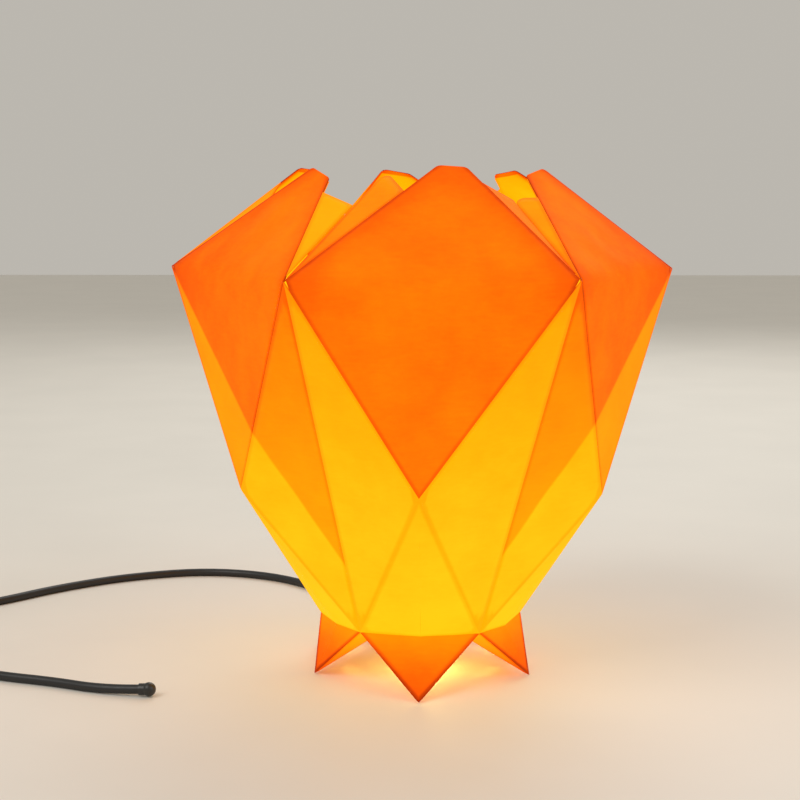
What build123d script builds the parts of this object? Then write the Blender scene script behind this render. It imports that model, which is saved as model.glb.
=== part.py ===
from build123d import *
import math
import os

# Pleated paper table lamp. Millimetres, +Z up, the front towards -Y.
# The origin is on the table, under the middle of the shade.

# Shade: equal folded petals round the axis. Each petal is laid out at the front, where a
# place is given by its distance out from the axis, its offset to the right as seen from
# outside, and its height.
PETALS = 6
PAPER = 0.8              # one layer of folded card
KITE_LAYERS = 2          # the kite is doubled by the corner that is turned in behind it
SEAM_GAP = 0.1           # glue line between two petals
CORNER_RADIUS = 125.0    # side corners of the kites, shared by two petals
CORNER_HEIGHT = 197.0
TIP_RADIUS = 58.0        # blunt upper tips
TIP_HEIGHT = 247.0
TIP_WIDTH = 12.0
TIP_LEAN = 14.0          # all the tips lean the same way
POINT_RADIUS = 97.0      # lower points of the kites
POINT_HEIGHT = 98.0
NECK_RADIUS = 50.0       # corners of the six-sided neck
NECK_HEIGHT = 25.0
RIDGE_RADIUS = 47.5      # crease down the middle of a petal, where it crosses the neck
FOOT_RADIUS = 62.0       # tips of the feet
FOOT_CUT = 1.4           # how far the sharp tip of a foot would reach under the table
EAR_RADIUS = 50.0        # free tip of the ear behind the left upper edge of a kite
EAR_OFFSET = -16.0
EAR_HEIGHT = 244.0
EAR_REACH = 0.77         # share of the kite's edge that carries the ear
WEB_REACH = 0.85         # share of the right upper edge that carries the web
WEB_DEPTH = 0.67         # share of the next ear's crease that the web follows
WEB_START = 0.10         # share left out beside the corner, where the layers crowd
WEB_GAP = 1.0            # between the web and the next petal's ear
RIM_RADIUS = 30.0        # inner end of the fold between two feet
RIM_HEIGHT = 21.0
RIM_LAP = 0.5            # the rims stop this far under the neck crease

# Holder plate, resting in the neck
PLATE_THICKNESS = 1.5
PLATE_BOTTOM = 28.2
PLATE_CLEARANCE = 0.25
PLATE_ROUNDING = 9.0
VENT_COUNT = 6
VENT_CIRCLE = 30.0
VENT_LENGTH = 16.0
VENT_WIDTH = 6.0

# Threaded tube with its nut and washer
TUBE_RADIUS = 5.0
TUBE_BORE = 3.2
TUBE_ABOVE = 5.0         # above the plate
TUBE_BELOW = 7.0         # below the plate
THREAD_FIT = 0.05
NUT_ACROSS = 14.0
NUT_HEIGHT = 3.0
WASHER_RADIUS = 8.5
WASHER_THICKNESS = 1.0

# Lamp holder: a metal cup with a ceramic insert
CUP_RADIUS = 14.0
CUP_HEIGHT = 14.0
CUP_WALL = 1.2
INSERT_GAP = 0.1
INSERT_HEIGHT = 22.0
INSERT_RIM = 13.6
INSERT_ROUNDING = 1.5
WELL_RADIUS = 9.2
WELL_DEPTH = 9.0
PIN_SPACING = 9.0
PIN_RADIUS = 0.9
PIN_LENGTH = 9.0
PIN_FIT = 0.08
SCREW_CIRCLE = 10.5
SCREW_RADIUS = 1.4
SCREW_HEAD = 1.9
SCREW_HEAD_HEIGHT = 0.8
SCREW_LENGTH = 9.0

# Push-in bulb
BULB_FIT = 0.1
BULB_BASE_HEIGHT = 15.0
BULB_SEAT = 0.2
GLASS_RADIUS = 10.5
GLASS_HEIGHT = 42.0
GLASS_WALL = 1.0
GLASS_LAP = 3.0
CORE_RADIUS = 5.5
CORE_HEIGHT = 28.0
CORE_SIDES = 8

# Cord grip under the tube
GRIP_RADIUS = 7.5
GRIP_MOUTH = 4.2
GRIP_HEIGHT = 7.0
GRIP_LAP = 4.0           # how far the grip screws up the tube
GRUB_RADIUS = 1.25

# Cord: thin, round and limp
CORD = 4.5
CORD_LIE = CORD / 2
TURN_GAP = 0.5           # between turns of the coil
COIL_CENTRE = (-290.0, 38.0)
COIL_RADIUS = 33.0       # middle of the outermost turn
COIL_START = 115.0       # degrees
COIL_SWEEP = 3018.0      # degrees, a little over eight turns
COIL_SPANS = 34          # even, the climb is in the middle two
BEAD_RADIUS = 3.3
BEAD_LENGTH = 8.0
BEAD_COLLAR = 2.8

REAR_ROUTE = [
    (0, 0, None),
    (0, 0, 10.5),
    (-4.6, 8.2, CORD_LIE),
    (-15, 28, CORD_LIE),
    (-27, 68, CORD_LIE),
    (-46, 123, CORD_LIE),
    (-80, 171, CORD_LIE),
    (-130, 190, CORD_LIE),
    (-178, 173, CORD_LIE),
    (-215, 143, CORD_LIE),
    (-244, 107, CORD_LIE),
    (-275.3, 82.1, CORD_LIE),
    (-303.95, 67.91, CORD_LIE),
]
FRONT_ROUTE = [
    (-299.65, 6.44, CORD_LIE + CORD + TURN_GAP),
    (-276.9, -1.13, CORD_LIE + CORD + TURN_GAP),
    (-249, -15, CORD_LIE),
    (-205, -37, CORD_LIE),
    (-176, -46, CORD_LIE),
    (-150, -58.5, CORD_LIE),
    (-132, -61.5, BEAD_RADIUS),
]

sector = 180 / PETALS    # half the angle of a petal
finished = []


def finish(builder, name):
    """Label a piece and keep it for the export."""
    builder.part.label = name
    finished.append(builder.part)


def place(out, right, height):
    """A point of the front petal."""
    return Vector(right, -out, height)


def ring(radius, side, height):
    """A corner that the front petal shares with the petal on its left (-1) or right (1)."""
    turn = math.radians(sector)
    return place(radius * math.cos(turn), side * radius * math.sin(turn), height)


def between(start, end, share):
    """The point at a share of the way from start to end."""
    return start + (end - start) * share


# ---------------------------------------------------------------- shade

left_corner = ring(CORNER_RADIUS, -1, CORNER_HEIGHT)
right_corner = ring(CORNER_RADIUS, 1, CORNER_HEIGHT)
left_tip = place(TIP_RADIUS, TIP_LEAN - TIP_WIDTH / 2, TIP_HEIGHT)
right_tip = place(TIP_RADIUS, TIP_LEAN + TIP_WIDTH / 2, TIP_HEIGHT)
low_point = place(POINT_RADIUS, 0, POINT_HEIGHT)
left_neck = ring(NECK_RADIUS, -1, NECK_HEIGHT)
right_neck = ring(NECK_RADIUS, 1, NECK_HEIGHT)
ridge = place(RIDGE_RADIUS, 0, NECK_HEIGHT)
foot_tip = place(FOOT_RADIUS, 0, -FOOT_CUT)
left_rim = ring(RIM_RADIUS, -1, RIM_HEIGHT)
right_rim = ring(RIM_RADIUS, 1, RIM_HEIGHT)
ear_tip = place(EAR_RADIUS, EAR_OFFSET, EAR_HEIGHT)
ear_root = between(left_corner, left_tip, EAR_REACH)
web_root = between(right_corner, right_tip, WEB_REACH)
next_ear = ear_tip.rotate(Axis.Z, 360 / PETALS)
web_end = between(right_corner, next_ear, WEB_DEPTH)


def facet(corners, layers=1):
    """Add a flat facet of paper with its corners counter-clockwise seen from outside."""
    first, second, third = corners[:3]
    normal = (second - first).cross(third - first)
    plane = Plane(origin=first, x_dir=second - first, z_dir=normal)
    outline = [plane.to_local_coords(corner) for corner in corners]
    with BuildSketch(plane.offset(PAPER / 2)) as sheet:
        Polygon(*[(corner.X, corner.Y) for corner in outline], align=None)
    extrude(sheet.sketch, amount=-PAPER * layers)


with BuildPart() as petal:
    facet([left_corner, low_point, right_corner], KITE_LAYERS)
    facet([left_corner, right_corner, right_tip, left_tip], KITE_LAYERS)
    facet([left_corner, left_neck, low_point])
    facet([right_corner, low_point, right_neck])
    facet([left_neck, ridge, low_point])
    facet([ridge, right_neck, low_point])
    facet([left_neck, foot_tip, ridge])
    facet([ridge, foot_tip, right_neck])
    # The ear stands up behind the left upper edge.
    facet([left_corner, ear_root, ear_tip])
    # Rims fold in under the neck from both edges of the foot.
    lap = Vector(0, 0, RIM_LAP)
    facet([left_neck - lap, left_rim - lap, foot_tip])
    facet([right_neck - lap, foot_tip, right_rim - lap])
    # Everything so far stays within the petal's own sector, and stands flat on the table.
    reach = 2 * CORNER_RADIUS
    edge = math.radians(sector)
    with BuildSketch(Plane.XY):
        Polygon(
            (0, -SEAM_GAP / 2 / math.sin(edge)),
            (-reach * math.sin(edge), -reach * math.cos(edge)),
            (reach * math.sin(edge), -reach * math.cos(edge)),
            align=None,
        )
    extrude(amount=2 * TIP_HEIGHT, mode=Mode.INTERSECT)
    # The web folds in from the right upper edge and ends beside the next petal's ear.
    inward = (web_root - web_end).normalized() * WEB_GAP
    web_start = between(right_corner, web_root, WEB_START)
    web_turn = between(right_corner, web_end, WEB_START) + inward
    facet([web_start, web_root, web_end + inward, web_turn])

for number in range(PETALS):
    with BuildPart() as petal_copy:
        add(petal.part, rotation=(0, 0, 360 / PETALS * number))
    finish(petal_copy, f"petal_{number + 1}")

# ---------------------------------------------------------------- holder plate

plate_top = PLATE_BOTTOM + PLATE_THICKNESS
neck_flat = NECK_RADIUS * math.cos(math.radians(sector))
facet_slope = (POINT_RADIUS - neck_flat) / (POINT_HEIGHT - NECK_HEIGHT)
facet_flat = neck_flat + facet_slope * (PLATE_BOTTOM - NECK_HEIGHT)
plate_flat = facet_flat - PAPER / 2 * math.hypot(1, facet_slope) - PLATE_CLEARANCE

with BuildPart() as holder_plate:
    with BuildSketch(Plane.XY.offset(PLATE_BOTTOM)) as plate_outline:
        RegularPolygon(plate_flat, PETALS, major_radius=False)
        fillet(plate_outline.vertices(), PLATE_ROUNDING)
        Circle(TUBE_RADIUS + THREAD_FIT, mode=Mode.SUBTRACT)
        with PolarLocations(VENT_CIRCLE, VENT_COUNT, start_angle=90):
            SlotOverall(VENT_LENGTH, VENT_WIDTH, rotation=90, mode=Mode.SUBTRACT)
    extrude(amount=PLATE_THICKNESS)
finish(holder_plate, "holder_plate")

# ---------------------------------------------------------------- threaded tube, nut, washer

tube_bottom = PLATE_BOTTOM - TUBE_BELOW
tube_top = plate_top + TUBE_ABOVE
washer_top = plate_top + WASHER_THICKNESS

with BuildPart() as threaded_tube:
    with BuildSketch(Plane.XY.offset(tube_bottom)):
        Circle(TUBE_RADIUS)
        Circle(TUBE_BORE, mode=Mode.SUBTRACT)
    extrude(amount=tube_top - tube_bottom)
finish(threaded_tube, "threaded_tube")

with BuildPart() as tube_nut:
    with BuildSketch(Plane.XY.offset(PLATE_BOTTOM - NUT_HEIGHT)):
        RegularPolygon(NUT_ACROSS / 2, 6, major_radius=False)
        Circle(TUBE_RADIUS + THREAD_FIT, mode=Mode.SUBTRACT)
    extrude(amount=NUT_HEIGHT)
finish(tube_nut, "tube_nut")

with BuildPart() as tube_washer:
    with BuildSketch(Plane.XY.offset(plate_top)):
        Circle(WASHER_RADIUS)
        Circle(TUBE_RADIUS + THREAD_FIT, mode=Mode.SUBTRACT)
    extrude(amount=WASHER_THICKNESS)
finish(tube_washer, "tube_washer")

# ---------------------------------------------------------------- lamp holder

cup_bottom = washer_top
insert_bottom = cup_bottom + CUP_WALL
insert_top = insert_bottom + INSERT_HEIGHT
cup_inner = CUP_RADIUS - CUP_WALL
tube_room = tube_top - insert_bottom + CUP_WALL

with BuildPart() as holder_cup:
    with BuildSketch(Plane.XY.offset(cup_bottom)):
        Circle(CUP_RADIUS)
    extrude(amount=CUP_HEIGHT)
    fillet(holder_cup.faces().sort_by(Axis.Z)[0].edges(), CUP_WALL)
    with BuildSketch(Plane.XY.offset(insert_bottom)):
        Circle(cup_inner)
    extrude(amount=CUP_HEIGHT, mode=Mode.SUBTRACT)
    with BuildSketch(Plane.XY.offset(cup_bottom)):
        Circle(TUBE_RADIUS + THREAD_FIT)
        with PolarLocations(SCREW_CIRCLE, 2):
            Circle(SCREW_RADIUS + THREAD_FIT)
    extrude(amount=CUP_WALL, mode=Mode.SUBTRACT)
finish(holder_cup, "holder_cup")

well_floor = insert_top - WELL_DEPTH
insert_step = cup_bottom + CUP_HEIGHT

with BuildPart() as holder_insert:
    with BuildSketch(Plane.XY.offset(insert_bottom)):
        Circle(cup_inner - INSERT_GAP)
    extrude(amount=insert_step - insert_bottom)
    with BuildSketch(Plane.XY.offset(insert_step)):
        Circle(INSERT_RIM)
    extrude(amount=insert_top - insert_step)
    fillet(holder_insert.faces().sort_by(Axis.Z)[-1].edges(), INSERT_ROUNDING)
    with BuildSketch(Plane.XY.offset(well_floor)):
        Circle(WELL_RADIUS)
    extrude(amount=WELL_DEPTH, mode=Mode.SUBTRACT)
    with BuildSketch(Plane.XY.offset(insert_bottom)):
        Circle(TUBE_RADIUS + INSERT_GAP)
    extrude(amount=tube_room, mode=Mode.SUBTRACT)
    with BuildSketch(Plane.XY.offset(well_floor - PIN_LENGTH - BULB_SEAT)):
        with GridLocations(PIN_SPACING, 1, 2, 1):
            Circle(PIN_RADIUS + PIN_FIT)
    extrude(amount=PIN_LENGTH + BULB_SEAT, mode=Mode.SUBTRACT)
    with BuildSketch(Plane.XY.offset(insert_bottom)):
        with PolarLocations(SCREW_CIRCLE, 2):
            Circle(SCREW_RADIUS + THREAD_FIT)
    extrude(amount=SCREW_LENGTH, mode=Mode.SUBTRACT)
finish(holder_insert, "holder_insert")

with BuildPart() as insert_screws:
    with BuildSketch(Plane.XY.offset(cup_bottom)):
        with PolarLocations(SCREW_CIRCLE, 2):
            Circle(SCREW_RADIUS)
    extrude(amount=SCREW_LENGTH)
    with BuildSketch(Plane.XY.offset(cup_bottom)):
        with PolarLocations(SCREW_CIRCLE, 2):
            Circle(SCREW_HEAD)
    extrude(amount=-SCREW_HEAD_HEIGHT)
finish(insert_screws, "insert_screws")

# ---------------------------------------------------------------- bulb

base_bottom = well_floor + BULB_SEAT
base_top = base_bottom + BULB_BASE_HEIGHT
base_radius = WELL_RADIUS - BULB_FIT
glass_bottom = base_top - GLASS_LAP
glass_top = glass_bottom + GLASS_HEIGHT
base_step = GLASS_RADIUS - GLASS_WALL - BULB_FIT

with BuildPart() as bulb_base:
    with BuildSketch(Plane.XY.offset(base_bottom)):
        Circle(base_radius)
    extrude(amount=glass_bottom - base_bottom)
    with BuildSketch(Plane.XY.offset(glass_bottom)):
        Circle(base_step)
    extrude(amount=GLASS_LAP)
finish(bulb_base, "bulb_base")

with BuildPart() as bulb_pins:
    with BuildSketch(Plane.XY.offset(base_bottom - PIN_LENGTH)):
        with GridLocations(PIN_SPACING, 1, 2, 1):
            Circle(PIN_RADIUS)
    extrude(amount=PIN_LENGTH)
    chamfer(bulb_pins.faces().group_by(Axis.Z)[0].edges(), PIN_RADIUS / 3)
finish(bulb_pins, "bulb_pins")

with BuildPart() as bulb_core:
    with BuildSketch(Plane.XY.offset(base_top)):
        RegularPolygon(CORE_RADIUS, CORE_SIDES)
    extrude(amount=CORE_HEIGHT)
finish(bulb_core, "bulb_core")

with BuildPart() as bulb_glass:
    for radius, mode in ((GLASS_RADIUS, Mode.ADD), (GLASS_RADIUS - GLASS_WALL, Mode.SUBTRACT)):
        with BuildSketch(Plane.XZ) as glass_profile:
            with BuildLine():
                shoulder = (radius, glass_top - GLASS_RADIUS)
                Polyline((0, glass_bottom), (radius, glass_bottom), shoulder)
                RadiusArc(shoulder, (0, glass_top - GLASS_RADIUS + radius), -radius)
                Line((0, glass_top - GLASS_RADIUS + radius), (0, glass_bottom))
            make_face()
        revolve(axis=Axis.Z, mode=mode)
finish(bulb_glass, "bulb_glass")

# ---------------------------------------------------------------- cord grip

grip_top = tube_bottom + GRIP_LAP
grip_bottom = grip_top - GRIP_HEIGHT

with BuildPart() as cord_grip:
    with BuildSketch(Plane.XZ):
        with BuildLine():
            Polyline(
                (CORD_LIE + THREAD_FIT, grip_bottom),
                (GRIP_MOUTH, grip_bottom),
                (GRIP_RADIUS, tube_bottom - 1),
                (GRIP_RADIUS, grip_top),
                (TUBE_RADIUS + THREAD_FIT, grip_top),
                (TUBE_RADIUS + THREAD_FIT, tube_bottom),
                (CORD_LIE + THREAD_FIT, tube_bottom),
                close=True,
            )
        make_face()
    revolve(axis=Axis.Z)
    with BuildSketch(Plane.XZ.offset(-GRIP_RADIUS)):
        with Locations((0, grip_top - GRIP_LAP / 2)):
            Circle(GRUB_RADIUS + THREAD_FIT)
    extrude(amount=GRIP_RADIUS - TUBE_RADIUS, mode=Mode.SUBTRACT)
finish(cord_grip, "cord_grip")

with BuildPart() as grip_screw:
    with BuildSketch(Plane.XZ.offset(-GRIP_RADIUS)):
        with Locations((0, grip_top - GRIP_LAP / 2)):
            Circle(GRUB_RADIUS)
            RegularPolygon(GRUB_RADIUS / 2, 6, mode=Mode.SUBTRACT)
    extrude(amount=GRIP_RADIUS - TUBE_RADIUS - THREAD_FIT)
finish(grip_screw, "grip_screw")

# ---------------------------------------------------------------- cord


def tube_along(points, name):
    """A round cord along straight runs joined by arcs as large as the runs allow."""
    corners = [Vector(*point) for point in points]
    runs = [end - start for start, end in zip(corners, corners[1:])]
    radii = []
    for before, after in zip(runs, runs[1:]):
        half_turn = math.radians(before.get_angle(after)) / 2
        radii.append(0.45 * min(before.length, after.length) / math.tan(half_turn))
    with BuildPart() as tube:
        with BuildLine() as route:
            FilletPolyline(*corners, radius=radii)
        path = route.wires()[0]
        with BuildSketch(Plane(origin=corners[0], z_dir=runs[0])):
            Circle(CORD / 2)
        sweep(path=path)
    length = path.length
    volume_share = tube.part.volume / (math.pi * CORD * CORD / 4 * length)
    print(f"{name}: {length:.1f} mm long, volume over section times length {volume_share:.5f}")
    print(f"{name}: radii", [round(radius, 1) for radius in radii])
    finish(tube, name)
    return length


rear_points = [REAR_ROUTE[0][:2] + (tube_bottom,)] + REAR_ROUTE[1:]
rear_length = tube_along(rear_points, "cord_rear")
front_length = tube_along(FRONT_ROUTE, "cord_front")

layer = CORD + TURN_GAP
pitch = CORD + TURN_GAP
middle_span = COIL_SPANS / 2
span_angle = math.radians(COIL_SWEEP / COIL_SPANS)


def coil_knot(number):
    """Point and heading of the coil after a number of spans: in, up one layer and out."""
    angle = math.radians(COIL_START) + span_angle * number
    from_middle = number - middle_span
    way = (from_middle > 0) - (from_middle < 0)
    spiral = pitch / (2 * math.pi)
    radius = COIL_RADIUS - spiral * span_angle * (middle_span - abs(from_middle))
    height = CORD_LIE + layer * min(max((from_middle + 1) / 2, 0), 1)
    climb = layer / span_angle if way == 0 else 0
    outward = Vector(math.cos(angle), math.sin(angle), 0)
    forward = Vector(-math.sin(angle), math.cos(angle), 0)
    point = Vector(*COIL_CENTRE, height) + outward * radius
    heading = outward * spiral * way + forward * radius + Vector(0, 0, climb)
    return point, heading.normalized()


def biarc(start, start_way, end, end_way):
    """Two tangent arcs from one point and heading to the next."""
    chord = end - start
    bend = 2 * (1 - start_way.dot(end_way))
    pull = 2 * chord.dot(start_way + end_way)
    reach = (math.sqrt(pull * pull + 4 * bend * chord.dot(chord)) - pull) / (2 * bend)
    first_handle = start + start_way * reach
    second_handle = end - end_way * reach
    joint = (first_handle + second_handle) * 0.5
    TangentArc(start, joint, tangent=start_way)
    TangentArc(joint, end, tangent=second_handle - first_handle)


with BuildPart() as cord_coil:
    with BuildLine() as coil_route:
        for number in range(COIL_SPANS):
            biarc(*coil_knot(number), *coil_knot(number + 1))
    coil_path = coil_route.wires()[0]
    coil_start, coil_heading = coil_knot(0)
    with BuildSketch(Plane(origin=coil_start, z_dir=coil_heading)):
        Circle(CORD / 2)
    sweep(path=coil_path)
finish(cord_coil, "cord_coil")

coil_length = coil_path.length
steps = 900
samples = [coil_path @ (step / steps) for step in range(steps + 1)]
apart = int(2 * CORD / (coil_length / steps)) + 1
least_gap = min(
    (samples[one] - samples[other]).length - CORD
    for one in range(0, steps, 2)
    for other in range(one + apart, steps + 1)
)
print(f"cord_coil: {coil_length:.1f} mm long, least gap between turns {least_gap:.2f} mm")
print(f"whole cord: {rear_length + front_length + coil_length:.0f} mm")

bead_start = Vector(*FRONT_ROUTE[-1])
bead_way = (bead_start - Vector(*FRONT_ROUTE[-2])).normalized()
bead_side = Vector(0, 0, 1).cross(bead_way).normalized()
bead_plane = Plane(origin=bead_start, x_dir=bead_side, z_dir=bead_side.cross(bead_way))
ball_middle = BEAD_LENGTH - BEAD_RADIUS
collar_length = ball_middle - math.sqrt(BEAD_RADIUS ** 2 - BEAD_COLLAR ** 2)

with BuildPart() as cord_end_bead:
    with BuildSketch(bead_plane):
        with BuildLine():
            Polyline((0, 0), (BEAD_COLLAR, 0), (BEAD_COLLAR, collar_length))
            ThreePointArc((BEAD_COLLAR, collar_length), (BEAD_RADIUS, ball_middle), (0, BEAD_LENGTH))
            Line((0, BEAD_LENGTH), (0, 0))
        make_face()
    revolve(axis=Axis(bead_start, bead_way))
finish(cord_end_bead, "cord_end_bead")

# ---------------------------------------------------------------- export

os.makedirs("parts", exist_ok=True)
for part in finished:
    export_step(part, f"parts/{part.label}.step")
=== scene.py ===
import math
import bmesh
import bpy
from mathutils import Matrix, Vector, noise


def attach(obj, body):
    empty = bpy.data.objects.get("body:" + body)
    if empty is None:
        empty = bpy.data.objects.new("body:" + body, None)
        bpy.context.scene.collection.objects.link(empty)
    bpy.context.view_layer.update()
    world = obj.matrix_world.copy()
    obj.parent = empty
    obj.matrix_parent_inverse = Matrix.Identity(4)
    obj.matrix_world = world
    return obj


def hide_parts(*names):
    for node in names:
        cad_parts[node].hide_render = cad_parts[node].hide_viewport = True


# Pleated paper table lamp, dressed: folded paper lit from within, a black lead on the table.
# Places on a petal are given in millimetres: out from the axis, to the right as seen from
# outside, and up. Meshes are in metres.

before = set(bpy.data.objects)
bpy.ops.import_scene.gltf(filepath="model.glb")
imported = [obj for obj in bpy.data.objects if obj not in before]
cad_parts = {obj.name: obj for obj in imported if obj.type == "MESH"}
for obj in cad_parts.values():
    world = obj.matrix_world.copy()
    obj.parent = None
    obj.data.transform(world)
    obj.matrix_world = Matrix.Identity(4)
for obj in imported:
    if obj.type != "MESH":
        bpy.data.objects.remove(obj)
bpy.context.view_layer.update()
MM = 0.001

# ---------------------------------------------------------------- sizes of the shade

PETALS = 6
PETAL_TURN = 360 / PETALS
CORNER = (125.0, 0.0, 197.0)       # where the side corners of two kites meet
TIP = (58.0, 14.0, 247.0)          # middle of a kite's blunt tip
POINT = (97.0, 0.0, 98.0)          # low point of a kite
NECK = (50.0, 0.0, 25.0)           # where two petals meet at the neck
RIDGE = (47.5, 0.0, 25.0)          # middle of a petal at the neck
RIM = (30.0, 0.0, 21.0)            # inner corner of the paper folded in under the neck
FOOT = (62.0, 0.0, 0.5)
EAR_TIP = (50.0, -16.0, 244.0)
PAPER = 0.55                       # one layer
TIP_ROUND = 4.0
LINING_GAP = 1.0                   # between a kite and the layer turned in behind it
LINING_INSET = 0.02                # share of the kite's width that layer leaves bare on each side
EAR_REACH = 0.77                   # share of a kite's upper edge that the ear is joined to
EAR_ROUND = 3.5
WEB_START, WEB_REACH = 0.06, 0.85  # shares of the other upper edge between which the web is joined
WEB_DEPTHS = [0.97, 0.67, 0.67, 0.67, 0.67, 0.67]  # how far each web goes in along the next ear
WEB_GAP = 1.0                      # between a web and the next ear

# Folded by hand: how far each shared corner and each petal is off the even pattern.
CORNER_SLIPS = [(-1, 4, 0), (1.5, 6, 0.5), (-2, 0, 1), (1, -1, 0.5), (-1, 1, -0.5), (-2.5, 0, 2)]
NECK_SLIPS = [(2.2, -3, 1.4), (1.7, 2.5, 1), (0, 0, 0.5), (-1, 1, -1), (-1, -1, 0), (0, 0, 0)]
RIDGE_SLIPS = [(-1, 0, 0), (-0.5, 1, -0.5), (0, 0, 0.5), (-1, 1, 0), (0, -1, -0.5), (-0.5, 0.5, 0)]
EAR_SLIPS = [(0, 0, 0.5), (6.5, 2.4, -12), (0, 3, -4), (0, 0, 0), (1, 0, -16), (0, -1, -1)]
TIP_SLIPS = [(0, 0, 0), (-2.7, -1.5, -0.7), (0, 1, -1), (1, -1, 0), (-1, 0, 0), (3, -1, -0.5)]
TIP_HALVES = [6.5, 9.0, 10.0, 7.0, 7.0, 8.5]
TIP_DROPS = [(0, -0.8), (-3.5, 0), (0, -2), (-2.5, 0), (-1, 0), (0, -5)]
POINT_SLIPS = [(0, -0.8, 3.1), (1, 0, -3.3), (0, 1, 1), (-1, 0, 0), (0, -1, -1), (0.5, 0, -1.3)]
FOOT_SLIPS = [(9.5, -0.8, 0), (-3, 4, 0), (-3, -1, 0), (-1, 1, 0), (0, -1, 0), (-5, -5, 0)]

# How finely the paper is divided, and how it bends and waves.
FACET_STEPS = 18
KITE_ROWS = 36
KITE_COLUMNS = 24
TIP_ROWS = 10
KITE_BEND = 0.12           # share of the kite's height over which the paper bends
RIM_BAND = 2.5             # doubled paper along the edges of the feet, and how much painted shade darkens it
RIM_SHADE = 0.16
KITE_BAND = 16.0           # painted shade: the light through the paper is darker towards the upper edges of the kites
KITE_EDGE_SHADE = 0.09
FAR_ON_DARK_SIDE = -50.0     # a distance on the dark side of a line of painted light that counts as far from it
WARP = 0.9                 # how far the paper waves out of flat, in millimetres
WARP_EDGE = 14.0           # the wave dies out towards a fold
WARP_SCALE = 21.0


def place(turn, out, right, up):
    """A point at an angle round the axis, in metres."""
    angle = math.radians(turn)
    x = out * math.sin(angle) + right * math.cos(angle)
    y = -out * math.cos(angle) + right * math.sin(angle)
    return Vector((x, y, up)) * MM


def slipped(turn, spot, slip):
    """A point of the even pattern, moved by the slip of the hand."""
    return place(turn, *(value + off for value, off in zip(spot, slip)))


def seam(number, spot, slips):
    """The corner on the left of a petal."""
    turn = PETAL_TURN * (number - 0.5)
    return slipped(turn, spot, slips[number % PETALS])


# ---------------------------------------------------------------- paper sheets


def glow_layers(sheet):
    """What the paper shader reads: painted light through the paper, the distance to folds for painted
    shade, and the side of a line of painted light.
    """
    layers = sheet.loops.layers.float
    return [layers.get(name) or layers.new(name) for name in ("glow", "fold", "past")]


def add_face(sheet, corners, notes):
    """One face, with the glow and the distance to the fold noted at its corners."""
    glow, fold, past = glow_layers(sheet)
    face = sheet.faces.new(corners)
    face.smooth = True
    for loop in face.loops:
        loop[glow], loop[fold], loop[past] = notes[loop.vert]


def wave(spot, distance):
    """How far the paper stands off its flat facet."""
    fade = min(1, distance / (WARP_EDGE * MM))
    return WARP * MM * fade * noise.noise(spot / (WARP_SCALE * MM))


def rounded(spot, corner, before, after, radius):
    """A spot of a sheet, drawn in to the arc that rounds off one of its corners."""
    sides = (before - corner).normalized(), (after - corner).normalized()
    half = sides[0].angle(sides[1]) / 2
    middle = (sides[0] + sides[1]).normalized()
    centre = corner + middle * radius * MM / math.sin(half)
    arm = spot - centre
    if arm.length <= radius * MM or arm.dot(-middle) <= radius * MM * math.sin(half):
        return spot
    return centre + arm.normalized() * radius * MM


def side_of_plane(spots):
    """The side of a plane through three spots, in millimetres, that bounds painted light; without a plane
    every spot is far on the dark side.
    """
    if not spots:
        return lambda spot: FAR_ON_DARK_SIDE
    first, second, third = spots
    normal = (second - first).cross(third - first).normalized()
    return lambda spot: (spot - first).dot(normal) / MM


def add_facet(sheet, corners, tone, past=side_of_plane(None), soft=(), rim=0.0, third_round=0.0):
    """A triangle of paper in small faces, with its corners counter-clockwise from outside.

    A soft side, opposite the corner of that number, has no crease. The rim is how much
    painted shade darkens the doubled paper along the other sides.
    """
    steps = FACET_STEPS
    first, second, third = corners
    across = (second - first).cross(third - first)
    normal = across.normalized()
    spans = [(third - second).length, (first - third).length, (second - first).length]
    heights = [across.length / span for span in spans]
    grid, notes = {}, {}
    for row in range(steps + 1):
        for column in range(steps + 1 - row):
            shares = ((steps - row - column) / steps, row / steps, column / steps)
            spot = first * shares[0] + second * shares[1] + third * shares[2]
            distances = [share * height for share, height in zip(shares, heights)]
            distance = min(value for side, value in enumerate(distances) if side not in soft)
            if third_round:
                spot = rounded(spot, third, second, first, third_round)
            vert = sheet.verts.new(spot + normal * wave(spot, distance))
            grid[row, column] = vert
            # Painted shade along the doubled paper of the rims.
            glow = tone(spot) - rim * max(0, 1 - distance / MM / RIM_BAND)
            notes[vert] = (glow, distance / MM, past(spot))
    for row in range(steps):
        for column in range(steps - row):
            near = grid[row, column]
            next_row, next_column = grid[row + 1, column], grid[row, column + 1]
            add_face(sheet, (near, next_row, next_column), notes)
            if column < steps - row - 1:
                far = grid[row + 1, column + 1]
                add_face(sheet, (next_row, far, next_column), notes)


def kite_spot(kite, height, share, depth):
    """A point of the kite: 0 at its low point, 1 at its side corners, 2 at its blunt tip."""
    low, left, right, left_tip, right_tip = kite

    def flat(level):
        if level < 1:
            ends = low.lerp(left, level), low.lerp(right, level)
        else:
            ends = left.lerp(left_tip, level - 1), right.lerp(right_tip, level - 1)
        return ends[0].lerp(ends[1], share)

    spot = flat(height)
    turn = (height - 1 + KITE_BEND) / (2 * KITE_BEND)
    if 0 < turn < 1:
        start, middle, end = flat(1 - KITE_BEND), flat(1), flat(1 + KITE_BEND)
        bent = start * (1 - turn) ** 2 + middle * 2 * turn * (1 - turn) + end * turn ** 2
        spot = spot.lerp(bent, 4 * share * (1 - share))
    outward = (left + right).normalized() * 0.8 + Vector((0, 0, 0.25 * height))
    return spot - outward.normalized() * depth * MM


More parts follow.
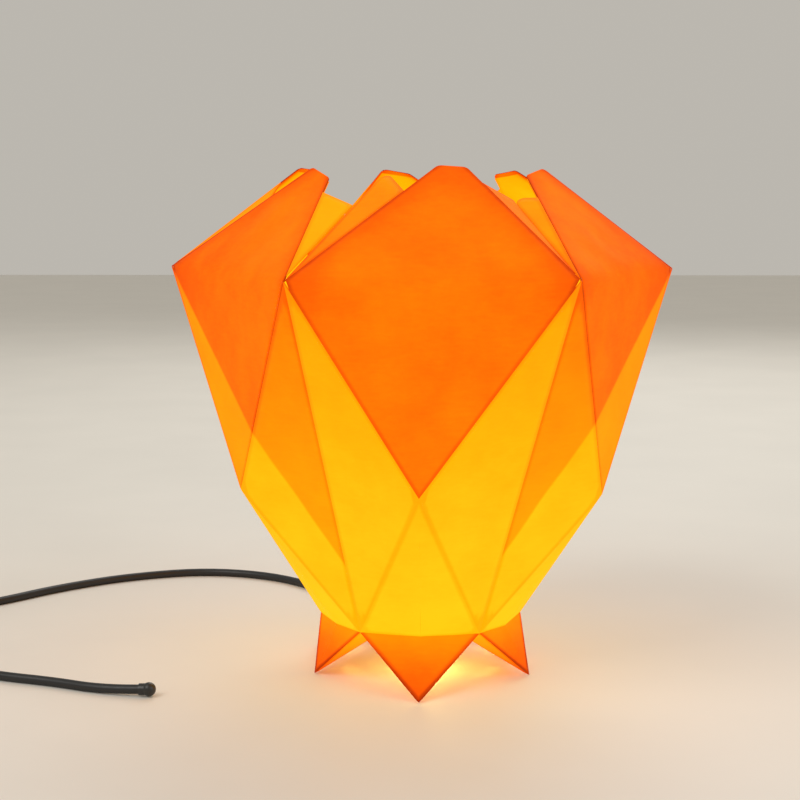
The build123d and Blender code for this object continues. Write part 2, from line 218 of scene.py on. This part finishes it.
def add_kite(sheet, kite, tone, past=side_of_plane(None), depth=0.0, inset=0.0):
    """The kite as one sheet that bends softly between its side corners."""
    low, left, right = kite[:3]
    grid, notes = {}, {}
    first_level = 0.001 + 2 * inset
    tip_part = 2 * TIP_ROUND * MM / (left - kite[3]).length
    tip_level = 2 - tip_part
    levels = [first_level + (tip_level - first_level) * row / KITE_ROWS for row in range(KITE_ROWS)]
    levels += [tip_level + (tip_part - inset) * row / TIP_ROWS for row in range(TIP_ROWS + 1)]
    for row, level in enumerate(levels):
        width = (right - left).length * (level if level < 1 else 2 - level * 0.97)
        for column in range(KITE_COLUMNS + 1):
            share = inset + (1 - 2 * inset) * column / KITE_COLUMNS
            spot = kite_spot(kite, level, share, depth)
            if level > 1.5 and not inset:
                spot = rounded(spot, kite[3], left, kite[4], TIP_ROUND)
                spot = rounded(spot, kite[4], kite[3], right, TIP_ROUND)
            from_side = min(share, 1 - share) * abs(width) * 0.85
            distance = min(from_side, (2.02 - level) * (left - kite[3]).length)
            outward = spot.normalized()
            vert = sheet.verts.new(spot + outward * wave(spot, distance))
            grid[row, column] = vert
            # Painted shade: the kite's light is darker towards its upper edges.
            upper = min(1, max(0, (level - 0.85) / 0.3))
            near_edge = max(0, 1 - distance / MM / KITE_BAND) ** 2
            glow = tone(spot) - KITE_EDGE_SHADE * upper * near_edge
            notes[vert] = (glow, distance / MM, past(spot) if level < 1.1 else FAR_ON_DARK_SIDE)
    for row in range(len(levels) - 1):
        for column in range(KITE_COLUMNS):
            quad = [
                grid[row, column],
                grid[row, column + 1],
                grid[row + 1, column + 1],
                grid[row + 1, column],
            ]
            add_face(sheet, quad, notes)


def joined(pieces):
    """Weld the patches of each sheet, then put all the sheets of a petal into one mesh."""
    whole = bmesh.new()
    for sheet in pieces:
        bmesh.ops.remove_doubles(sheet, verts=sheet.verts, dist=0.02 * MM)
        mesh = bpy.data.meshes.new("sheet")
        sheet.to_mesh(mesh)
        sheet.free()
        whole.from_mesh(mesh)
        bpy.data.meshes.remove(mesh)
    return whole


# ---------------------------------------------------------------- light through the paper

# Each tone is the light that comes through one kind of facet, from 0, dark, to 1, brightest.

SIDE_PETALS = (1, PETALS - 1)
SIDE_LONG_LIGHT = -0.22            # the long triangles of the side petals are darker by this
WEB_LIGHT = 0.88
EAR_LIGHTS = [0.0, 0.08, 0.05, 0.05, 0.0, 0.0]
WEB_LIGHTS = [-0.42, 0.0, 0.0, 0.0, -0.16, 0.0]


def millimetres_up(spot):
    return spot.z / MM


def part_way(value, start, end):
    """How far a value has come from start to end, between 0 and 1."""
    return min(1, max(0, (value - start) / (end - start)))


def kite_tone(spot):
    """Painted light through doubled paper, with painted shade at the side corners."""
    near_corner = max(0, 1 - abs(millimetres_up(spot) - CORNER[2]) / 45)
    outside = max(0, (math.hypot(spot.x, spot.y) / MM - 108) / 17)
    higher = part_way(millimetres_up(spot), CORNER[2], TIP[2])
    return 0.468 - 0.02 * higher - 0.08 * outside * near_corner


def side_kite_tone(spot):
    """Doubled paper of the side petals, with painted shade that darkens them away from the front."""
    return kite_tone(spot) + 0.02 - 0.10 * (abs(spot.x) / MM - 62) / 63


def long_tone(spot):
    return min(0.93, 0.90 - 0.0020 * (millimetres_up(spot) - POINT[2]))


def small_tone(spot):
    return 0.99 - 0.11 * part_way(millimetres_up(spot), 40, 100)


def foot_tone(spot):
    return 0.33 + 0.27 * part_way(millimetres_up(spot), 0, NECK[2]) ** 1.5


def rim_tone(spot):
    return 0.34 + 0.45 * part_way(millimetres_up(spot), 0, NECK[2])


def ear_tone(spot):
    return 0.49 + 0.12 * (millimetres_up(spot) - 200) / 45


def lining_tone(spot):
    return 0.98 - 0.0026 * (millimetres_up(spot) - 235)


def even_tone(light):
    """The same light all over."""
    return lambda spot: light


def shifted(tone, change):
    """The same tone, lighter or darker all over."""
    return lambda spot: tone(spot) + change


# ---------------------------------------------------------------- one petal


def painted_light_line(number, kite, left_neck, right_neck):
    """The line on a side petal past which the paper is painted lighter."""
    low, left, right = kite[:3]
    if number == SIDE_PETALS[0]:
        return side_of_plane((right, low.lerp(left, 0.35), left.lerp(left_neck, 0.76)))
    return side_of_plane((left, right.lerp(right_neck, 0.79), low.lerp(right, 0.29)))


def thick_paper(name, sheets):
    """One object of all the sheets, with the thickness of the paper and its three surfaces."""
    whole = joined(sheets)
    mesh = bpy.data.meshes.new(name)
    whole.to_mesh(mesh)
    whole.free()
    petal = bpy.data.objects.new(name, mesh)
    bpy.context.collection.objects.link(petal)
    wall = petal.modifiers.new("Thickness", "SOLIDIFY")
    wall.thickness = PAPER * MM
    wall.offset = 0
    wall.use_even_offset = False
    wall.material_offset = 1
    wall.material_offset_rim = 2
    return petal


def fold_petal(number):
    """One petal: kite with its lining, ear, web, long and small triangles, foot and rims."""
    turn = PETAL_TURN * number
    left, right = seam(number, CORNER, CORNER_SLIPS), seam(number + 1, CORNER, CORNER_SLIPS)
    left_neck, right_neck = seam(number, NECK, NECK_SLIPS), seam(number + 1, NECK, NECK_SLIPS)
    left_rim, right_rim = seam(number, RIM, NECK_SLIPS), seam(number + 1, RIM, NECK_SLIPS)
    tip_slip = TIP_SLIPS[number]
    half, drops = TIP_HALVES[number], TIP_DROPS[number]
    left_tip = slipped(turn, (TIP[0], TIP[1] - half, TIP[2] + drops[0]), tip_slip)
    right_tip = slipped(turn, (TIP[0], TIP[1] + half, TIP[2] + drops[1]), tip_slip)
    low = slipped(turn, POINT, POINT_SLIPS[number])
    foot = slipped(turn, FOOT, FOOT_SLIPS[number])
    ridge = slipped(turn, RIDGE, RIDGE_SLIPS[number])
    ear_tip = slipped(turn, EAR_TIP, EAR_SLIPS[number])
    next_number = (number + 1) % PETALS
    next_ear = slipped(PETAL_TURN * next_number, EAR_TIP, EAR_SLIPS[next_number])
    kite = (low, left, right, left_tip, right_tip)

    past = side_of_plane(None)
    kite_part, long_part = kite_tone, long_tone
    # Side petals: a line of painted light, and painted shade on their kites and long triangles.
    if number in SIDE_PETALS:
        past = painted_light_line(number, kite, left_neck, right_neck)
        kite_part, long_part = side_kite_tone, shifted(long_tone, SIDE_LONG_LIGHT)
    body = bmesh.new()
    add_kite(body, kite, kite_part, past)
    body_rest = bmesh.new()
    add_facet(body_rest, (left, left_neck, low), long_part, past)
    add_facet(body_rest, (right, low, right_neck), long_part, past)
    add_facet(body_rest, (left_neck, ridge, low), small_tone, soft=(0,))
    add_facet(body_rest, (ridge, right_neck, low), small_tone, soft=(1,))
    add_facet(body_rest, (left_neck, foot, ridge), foot_tone, soft=(0, 1), rim=RIM_SHADE)
    add_facet(body_rest, (ridge, foot, right_neck), foot_tone, soft=(1, 2), rim=RIM_SHADE)
    add_facet(body_rest, (left_neck, left_rim, foot), rim_tone)
    add_facet(body_rest, (right_neck, foot, right_rim), rim_tone)

    lining = bmesh.new()
    add_kite(lining, kite, lining_tone, depth=LINING_GAP, inset=LINING_INSET)

    ear = bmesh.new()
    ear_root = left.lerp(left_tip, EAR_REACH)
    ear_part = shifted(ear_tone, EAR_LIGHTS[number])
    add_facet(ear, (left, ear_root, ear_tip), ear_part, third_round=EAR_ROUND)

    web = bmesh.new()
    web_root = right.lerp(right_tip, WEB_REACH)
    web_end = right.lerp(next_ear, WEB_DEPTHS[number])
    inward = (web_root - web_end).normalized() * WEB_GAP * MM
    web_start = right.lerp(web_root, WEB_START)
    web_part = even_tone(WEB_LIGHT + WEB_LIGHTS[number])
    add_facet(web, (web_start, web_root, web_end + inward), web_part)

    return thick_paper(f"folded_petal_{number + 1}", [body, body_rest, lining, ear, web])


# ---------------------------------------------------------------- shader groups


def add_node(tree, kind, **inputs):
    """A node with its inputs set to numbers or linked to sockets."""
    node = tree.nodes.new(kind)
    for name, value in inputs.items():
        socket = node.inputs[name.replace("_", " ")]
        if isinstance(value, bpy.types.NodeSocket):
            tree.links.new(value, socket)
        else:
            socket.default_value = value
    return node


def group_sockets(name, inputs, outputs):
    """A shader group with named inputs and outputs."""
    tree = bpy.data.node_groups.new(name, "ShaderNodeTree")
    for label, kind, value in inputs:
        socket = tree.interface.new_socket(label, in_out="INPUT", socket_type=kind)
        socket.default_value = value
    for label, kind in outputs:
        tree.interface.new_socket(label, in_out="OUTPUT", socket_type=kind)
    start, end = tree.nodes.new("NodeGroupInput"), tree.nodes.new("NodeGroupOutput")
    return tree, start, end


def math_node(tree, operation, *values):
    """The result of a math node, each value a number or a socket to link."""
    node = tree.nodes.new("ShaderNodeMath")
    node.operation = operation
    for socket, value in zip(node.inputs, values):
        if isinstance(value, (int, float)):
            socket.default_value = value
        else:
            tree.links.new(value, socket)
    return node.outputs[0]


def noise_at(tree, where, scale, detail=4.0, roughness=0.55):
    """Noise at a place; the scale is a number or a socket."""
    inputs = {"Vector": where, "Scale": scale, "Detail": detail, "Roughness": roughness}
    return add_node(tree, "ShaderNodeTexNoise", **inputs).outputs["Fac"]


def spread(tree, value, start, end, low, high):
    """A value between start and end, spread out between low and high."""
    ends = {"From_Min": start, "From_Max": end, "To_Min": low, "To_Max": high}
    return add_node(tree, "ShaderNodeMapRange", Value=value, **ends)


FLOAT, VECTOR = "NodeSocketFloat", "NodeSocketVector"


def fibre_group():
    """Paper fibres and clouding: a value for colour and a height for the surface."""
    inputs = [("Place", VECTOR, (0, 0, 0)), ("Fibre Scale", FLOAT, 900.0), ("Cloud Scale", FLOAT, 60.0)]
    tree, start, end = group_sockets("Paper fibres", inputs, [("Cloud", FLOAT), ("Height", FLOAT)])
    where = start.outputs["Place"]
    stretched = add_node(tree, "ShaderNodeMapping", Vector=where, Scale=(0.22, 0.22, 1.0))
    long_fibres = noise_at(tree, stretched.outputs[0], start.outputs["Fibre Scale"], 3.0, 0.7)
    grain = noise_at(tree, where, start.outputs["Fibre Scale"], 2.0, 0.6)
    cloud = noise_at(tree, where, start.outputs["Cloud Scale"], 5.0, 0.6)
    height = math_node(tree, "ADD", long_fibres, math_node(tree, "MULTIPLY", grain, 0.6))
    flecks = math_node(tree, "MULTIPLY", math_node(tree, "SUBTRACT", long_fibres, 0.5), 0.35)
    tree.links.new(math_node(tree, "ADD", cloud, flecks), end.inputs["Cloud"])
    tree.links.new(height, end.inputs["Height"])
    return tree


def wear_group():
    """Fine unevenness of a made surface: a value for roughness and a height."""
    inputs = [
        ("Place", VECTOR, (0, 0, 0)),
        ("Scale", FLOAT, 300.0),
        ("Low", FLOAT, 0.3),
        ("High", FLOAT, 0.5),
    ]
    tree, start, end = group_sockets("Fine wear", inputs, [("Roughness", FLOAT), ("Height", FLOAT)])
    grain = noise_at(tree, start.outputs["Place"], start.outputs["Scale"])
    gloss = spread(tree, grain, 0.3, 0.7, start.outputs["Low"], start.outputs["High"])
    tree.links.new(gloss.outputs[0], end.inputs["Roughness"])
    tree.links.new(grain, end.inputs["Height"])
    return tree


FIBRES, WEAR = fibre_group(), wear_group()


def new_material(name):
    """A material with its shader, its node tree and the place on the piece."""
    material = bpy.data.materials.new(name)
    material.use_nodes = True
    tree = material.node_tree
    shader = tree.nodes["Principled BSDF"]
    where = tree.nodes.new("ShaderNodeTexCoord").outputs["Object"]
    return material, tree, shader, where


def use_group(tree, group, where, **values):
    """The outputs of a shared group placed in a material with this material's own values."""
    node = tree.nodes.new("ShaderNodeGroup")
    node.node_tree = group
    tree.links.new(where, node.inputs["Place"])
    for name, value in values.items():
        node.inputs[name.replace("_", " ")].default_value = value
    return node.outputs


def add_bump(tree, shader, height, distance, strength=0.5):
    """Raise the surface by a height, in millimetres."""
    bump = add_node(tree, "ShaderNodeBump", Height=height, Distance=distance * MM, Strength=strength)
    tree.links.new(bump.outputs[0], shader.inputs["Normal"])


def colour_ramp(tree, value, stops):
    """A colour that goes through the stops along a value."""
    ramp = tree.nodes.new("ShaderNodeValToRGB")
    points = ramp.color_ramp.elements
    while len(points) < len(stops):
        points.new(1.0)
    for point, (position, colour) in zip(points, stops):
        point.position = position
        point.color = (*colour, 1.0)
    tree.links.new(value, ramp.inputs[0])
    return ramp.outputs[0]


# Colours of the paper against the light that comes through it, and of the dyed paper itself.
LIT_PAPER = [
    (0.00, (0.12, 0.006, 0.000)),
    (0.22, (0.50, 0.028, 0.000)),
    (0.40, (0.93, 0.110, 0.000)),
    (0.55, (1.00, 0.230, 0.000)),
    (0.70, (1.00, 0.340, 0.000)),
    (0.85, (1.00, 0.460, 0.001)),
    (1.00, (1.00, 0.610, 0.006)),
]
DYED_PAPER = [(0.3, (0.20, 0.024, 0.000)), (0.7, (0.26, 0.036, 0.000))]

CLOUDING = 0.13            # how far clouding in the paper changes its light
FOLD_REACH = 2.4           # distance from a fold over which painted shade darkens the paper, in millimetres
FOLD_SHADE = 0.11
LINE_LIGHT_GAIN = 0.22          # painted light added past a line on the side petals
LINE_LIGHT_BLUR = 0.6
BULB_MIDDLE = (0.0, 0.0, 0.12)     # in metres, like the distances from it
NEAR_BULB, FAR_FROM_BULB = 0.085, 0.155


def noted(tree, name):
    """A value noted on the mesh."""
    node = tree.nodes.new("ShaderNodeAttribute")
    node.attribute_name = name
    return node.outputs["Fac"]


def paper_light(tree, where, cloud, gain, lift, far_loss):
    """How much light comes through the paper, from 0 to 1."""
    clouded = math_node(tree, "MULTIPLY", math_node(tree, "SUBTRACT", cloud, 0.5), CLOUDING)
    # Painted shade near folds.
    fold_shade = spread(tree, noted(tree, "fold"), 0.0, FOLD_REACH, -FOLD_SHADE, 0.0)
    fold_shade.interpolation_type = "SMOOTHERSTEP"
    # Painted light past a line on the side petals.
    past_line_light = spread(tree, noted(tree, "past"), -LINE_LIGHT_BLUR, LINE_LIGHT_BLUR, 0.0, LINE_LIGHT_GAIN)
    from_bulb = tree.nodes.new("ShaderNodeVectorMath")
    from_bulb.operation = "DISTANCE"
    from_bulb.inputs[1].default_value = BULB_MIDDLE
    tree.links.new(where, from_bulb.inputs[0])
    bulb_way = from_bulb.outputs["Value"]
    far = spread(tree, bulb_way, NEAR_BULB, FAR_FROM_BULB, lift, lift - far_loss)
    level = math_node(tree, "MULTIPLY", noted(tree, "glow"), gain)
    for part in (clouded, fold_shade.outputs[0], past_line_light.outputs[0], far.outputs[0]):
        level = math_node(tree, "ADD", level, part)
    return level


def paper_material(name, bump, gain=1.0, lift=0.0, far_loss=0.0, glow_strength=1.0):
    """Dyed paper with light behind it, raised by its gain and lift and weaker far from the bulb."""
    material, tree, shader, where = new_material(name)
    fibres = use_group(tree, FIBRES, where, Fibre_Scale=700.0, Cloud_Scale=45.0)
    level = paper_light(tree, where, fibres["Cloud"], gain, lift, far_loss)
    lit = colour_ramp(tree, level, LIT_PAPER)
    dyed = colour_ramp(tree, fibres["Cloud"], DYED_PAPER)
    tree.links.new(lit, shader.inputs["Emission Color"])
    tree.links.new(dyed, shader.inputs["Base Color"])
    shader.inputs["Emission Strength"].default_value = glow_strength
    shader.inputs["Roughness"].default_value = 0.85
    shader.inputs["Specular IOR Level"].default_value = 0.08
    add_bump(tree, shader, fibres["Height"], bump, 0.55)
    return material


def plain_material(name, colour, low, high, metallic=0.0, bump=0.02, scale=300.0, shade=0.82, **extra):
    """A made surface with fine unevenness in its gloss and its height."""
    material, tree, shader, where = new_material(name)
    wear = use_group(tree, WEAR, where, Scale=scale, Low=low, High=high)
    tree.links.new(wear["Roughness"], shader.inputs["Roughness"])
    darker = tuple(value * shade for value in colour)
    tint = colour_ramp(tree, wear["Height"], [(0.35, darker), (0.65, colour)])
    tree.links.new(tint, shader.inputs["Base Color"])
    shader.inputs["Metallic"].default_value = metallic
    for socket, value in extra.items():
        shader.inputs[socket.replace("_", " ")].default_value = value
    add_bump(tree, shader, wear["Height"], bump)
    return material


paper_outside = paper_material("Lit paper outside", bump=0.12)
paper_inside = paper_material("Lit paper inside", gain=0.7, lift=0.40, far_loss=0.32, bump=0.04)
paper_edge = paper_material("Cut paper edge", lift=-0.2, glow_strength=0.9, bump=0.04)
cord_black = plain_material("Black lead", (0.012, 0.012, 0.013), 0.34, 0.5, bump=0.03, scale=700.0)
bead_black = plain_material("Black moulding", (0.018, 0.018, 0.018), 0.3, 0.42, bump=0.01)
plate_white = plain_material("Powder coated steel", (0.82, 0.8, 0.76), 0.4, 0.6, bump=0.05, scale=1500.0)
zinc = plain_material("Zinc plated steel", (0.6, 0.6, 0.58), 0.25, 0.45, metallic=1.0)
glazed = plain_material("Glazed ceramic", (0.86, 0.83, 0.76), 0.08, 0.2, bump=0.02, Coat_Weight=0.6)
bulb_white = plain_material("Bulb moulding", (0.88, 0.86, 0.8), 0.35, 0.5)
light_board = plain_material("Light board", (0.9, 0.75, 0.4), 0.4, 0.6)
opal = plain_material("Opal glass", (0.95, 0.9, 0.8), 0.25, 0.35, bump=0.01)


def make_glow(material, colour, strength):
    """Let a plain material shine evenly."""
    shader = material.node_tree.nodes["Principled BSDF"]
    shader.inputs["Emission Color"].default_value = (*colour, 1.0)
    shader.inputs["Emission Strength"].default_value = strength


make_glow(opal, (1.0, 0.76, 0.42), 1.25)
make_glow(light_board, (1.0, 0.75, 0.4), 3.0)

NODE_MATERIALS = {
    "holder_plate": plate_white,
    "threaded_tube": zinc,
    "tube_nut": zinc,
    "tube_washer": zinc,
    "holder_cup": plate_white,
    "holder_insert": glazed,
    "insert_screws": zinc,
    "cord_grip": bead_black,
    "grip_screw": zinc,
    "cord_end_bead": bead_black,
    "bulb_base": bulb_white,
    "bulb_pins": zinc,
    "bulb_core": light_board,
    "bulb_glass": opal,
}
for name, material in NODE_MATERIALS.items():
    node = bpy.data.objects[name]
    node.data.materials.clear()
    node.data.materials.append(material)

# ---------------------------------------------------------------- petals

for number in range(PETALS):
    petal = fold_petal(number)
    for material in (paper_outside, paper_inside, paper_edge):
        petal.data.materials.append(material)
    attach(petal, "lamp")
    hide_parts(f"petal_{number + 1}")

# ---------------------------------------------------------------- ribs of the cord grip


def rib_tree():
    """Upright round ribs, evenly spaced along an arc about the axis."""
    tree = bpy.data.node_groups.new("Ribs round a ring", "GeometryNodeTree")
    tree.is_modifier = True
    for label in ("Ring Radius", "Rib Radius", "Rib Height", "Ring Up", "Start", "Sweep"):
        tree.interface.new_socket(label, in_out="INPUT", socket_type="NodeSocketFloat")
    tree.interface.new_socket("Count", in_out="INPUT", socket_type="NodeSocketInt")
    tree.interface.new_socket("Material", in_out="INPUT", socket_type="NodeSocketMaterial")
    tree.interface.new_socket("Geometry", in_out="OUTPUT", socket_type="NodeSocketGeometry")
    given = tree.nodes.new("NodeGroupInput").outputs
    ring = add_node(
        tree,
        "GeometryNodeCurveArc",
        Radius=given["Ring Radius"],
        Start_Angle=given["Start"],
        Sweep_Angle=given["Sweep"],
        Resolution=64,
    )
    arc = ring.outputs["Curve"]
    spots = add_node(tree, "GeometryNodeCurveToPoints", Curve=arc, Count=given["Count"])
    lift = add_node(tree, "ShaderNodeCombineXYZ", Z=given["Ring Up"])
    raised = add_node(
        tree,
        "GeometryNodeSetPosition",
        Geometry=spots.outputs["Points"],
        Offset=lift.outputs["Vector"],
    )
    rib = add_node(
        tree,
        "GeometryNodeMeshCylinder",
        Vertices=12,
        Radius=given["Rib Radius"],
        Depth=given["Rib Height"],
    )
    ribs = add_node(
        tree,
        "GeometryNodeInstanceOnPoints",
        Points=raised.outputs["Geometry"],
        Instance=rib.outputs["Mesh"],
    )
    real = add_node(tree, "GeometryNodeRealizeInstances", Geometry=ribs.outputs["Instances"])
    made = add_node(
        tree,
        "GeometryNodeSetMaterial",
        Geometry=real.outputs["Geometry"],
        Material=given["Material"],
    )
    end = tree.nodes.new("NodeGroupOutput")
    tree.links.new(made.outputs["Geometry"], end.inputs["Geometry"])
    return tree


def ring_of_ribs(name, tree, **sizes):
    """A plain mesh of ribs, made by the tree at its own sizes."""
    piece = bpy.data.objects.new(name, bpy.data.meshes.new(name))
    bpy.context.collection.objects.link(piece)
    maker = piece.modifiers.new("Ribs", "NODES")
    maker.node_group = tree
    for item in tree.interface.items_tree:
        if item.in_out == "INPUT":
            maker[item.identifier] = sizes[item.name.replace(" ", "_")]
    evaluated = piece.evaluated_get(bpy.context.evaluated_depsgraph_get())
    mesh = bpy.data.meshes.new_from_object(evaluated)
    piece.modifiers.clear()
    piece.data = mesh
    return piece


grip_ribs = ring_of_ribs(
    "grip_ribs",
    rib_tree(),
    Ring_Radius=7.4 * MM,
    Rib_Radius=0.42 * MM,
    Rib_Height=4.4 * MM,
    Ring_Up=22.7 * MM,
    Start=math.radians(118),
    Sweep=math.radians(304),
    Count=27,
    Material=bead_black,
)
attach(grip_ribs, "lamp")

# ---------------------------------------------------------------- lead

CORD = 4.5
LIE = CORD / 2
LAYER = CORD + 0.5
TUBE_END = 21.2
COIL_CENTRE = (-290.0, 38.0)
COIL_RADIUS = 33.0
COIL_START = 115.0
COIL_SWEEP = 3018.0
COIL_SPANS = 34
POINTS_A_SPAN = 4
COIL_OUTSET = 1.012        # the points stand out so that the smooth curve runs at the coil's radius
REAR_ROUTE = [
    (0, 0, TUBE_END),
    (0, 0, 10.5),
    (-4.6, 8.2, LIE),
    (-15, 28, LIE),
    (-27, 68, LIE),
    (-46, 123, LIE),
    (-80, 171, LIE),
    (-130, 190, LIE),
    (-178, 173, LIE),
    (-215, 143, LIE),
    (-244, 107, LIE),
    (-275.3, 82.1, LIE),
]
FRONT_ROUTE = [
    (-276.9, -1.13, LIE + LAYER),
    (-249, -15, LIE),
    (-205, -37, LIE),
    (-176, -46, LIE),
    (-150, -58.5, LIE),
    (-132, -61.5, 3.3),
]


def coil_point(count):
    """A point of the put-away coil: in, up one layer and out again."""
    middle = COIL_SPANS / 2
    spans = count / POINTS_A_SPAN
    angle = math.radians(COIL_START + COIL_SWEEP / COIL_SPANS * spans)
    inward = (middle - abs(spans - middle)) * COIL_SWEEP / COIL_SPANS / 360
    radius = (COIL_RADIUS - LAYER * inward) * COIL_OUTSET
    height = LIE + LAYER * min(max((spans - middle + 1) / 2, 0), 1)
    x = COIL_CENTRE[0] + radius * math.cos(angle)
    y = COIL_CENTRE[1] + radius * math.sin(angle)
    return (x, y, height)


coil = [coil_point(count) for count in range(COIL_SPANS * POINTS_A_SPAN + 1)]
route = REAR_ROUTE + coil + FRONT_ROUTE
line = bpy.data.curves.new("black_lead", "CURVE")
line.dimensions = "3D"
line.bevel_depth = CORD / 2 * MM
line.bevel_resolution = 5
line.use_fill_caps = True
line.resolution_u = 6
spline = line.splines.new("NURBS")
spline.points.add(len(route) - 1)
for point, spot in zip(spline.points, route):
    point.co = (*(value * MM for value in spot), 1.0)
spline.order_u = 3
spline.use_endpoint_u = True
spline.use_smooth = True
lead = bpy.data.objects.new("black_lead", line)
bpy.context.collection.objects.link(lead)
line.materials.append(cord_black)
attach(lead, "lamp")
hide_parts("cord_rear", "cord_coil", "cord_front")

# ---------------------------------------------------------------- floor, light and camera

FLOOR_HALF = 4.0
floor_mesh = bpy.data.meshes.new("floor")
corners = [(x * FLOOR_HALF, y * FLOOR_HALF, 0) for x, y in ((-1, -1), (1, -1), (1, 1), (-1, 1))]
floor_mesh.from_pydata(corners, [], [range(4)])
floor = bpy.data.objects.new("floor", floor_mesh)
bpy.context.collection.objects.link(floor)
floor_paint = plain_material("Pale floor", (0.8, 0.77, 0.71), 0.55, 0.62, bump=0.0, scale=8.0, shade=0.97)
floor_mesh.materials.append(floor_paint)


def soft_light(name, spot, target, size, power, colour):
    """A soft square light that looks at a target."""
    data = bpy.data.lights.new(name, "AREA")
    data.shape = "SQUARE"
    data.size = size
    data.energy = power
    data.color = colour
    light = bpy.data.objects.new(name, data)
    bpy.context.collection.objects.link(light)
    light.location = spot
    light.rotation_euler = (Vector(target) - Vector(spot)).to_track_quat("-Z", "Y").to_euler()
    return light


soft_light("key_light", (-1.1, -1.0, 1.5), (0, 0, 0.1), 1.2, 14.0, (1.0, 0.97, 0.93))
soft_light("fill_light", (1.4, -0.7, 0.9), (0, 0, 0.1), 1.2, 6.0, (0.95, 0.97, 1.0))
soft_light("back_light", (0.3, 1.4, 1.2), (0, 0, 0.1), 1.0, 8.0, (1.0, 0.98, 0.95))


def bulb_light(name, spot, power, radius):
    """Warm light from the bulb."""
    data = bpy.data.lights.new(name, "POINT")
    data.energy = power
    data.color = (1.0, 0.66, 0.16)
    data.shadow_soft_size = radius
    light = bpy.data.objects.new(name, data)
    bpy.context.collection.objects.link(light)
    light.location = spot
    return light


bulb_light("bulb_glow", (0, 0, 0.125), 0.35, 0.012)
bulb_light("spill_under_neck", (0.004, -0.014, 0.013), 0.03, 0.008)

world = bpy.data.worlds.new("Studio")
bpy.context.scene.world = world
world.use_nodes = True
world.node_tree.nodes["Background"].inputs["Color"].default_value = (1.0, 0.95, 0.86, 1)
world.node_tree.nodes["Background"].inputs["Strength"].default_value = 0.5
bpy.context.scene.view_settings.view_transform = "Standard"

FOCAL_PIXELS = 1655.6      # fitted to the photograph, for a frame 800 pixels wide
FRAME_PIXELS = 800
AXIS_PIXEL = 421.0         # where the lamp's axis stands across the frame
CAMERA_BACK = 815.0
CAMERA_UP = 234.3
CAMERA_PITCH = 7.1

camera_data = bpy.data.cameras.new("camera")
camera_data.sensor_width = 36.0
camera_data.lens = FOCAL_PIXELS / FRAME_PIXELS * camera_data.sensor_width
camera = bpy.data.objects.new("camera", camera_data)
bpy.context.collection.objects.link(camera)
camera.location = (0, -CAMERA_BACK * MM, CAMERA_UP * MM)
yaw = math.atan((AXIS_PIXEL - FRAME_PIXELS / 2) / FOCAL_PIXELS)
camera.rotation_euler = (math.radians(90 - CAMERA_PITCH), 0, yaw)
bpy.context.scene.camera = camera
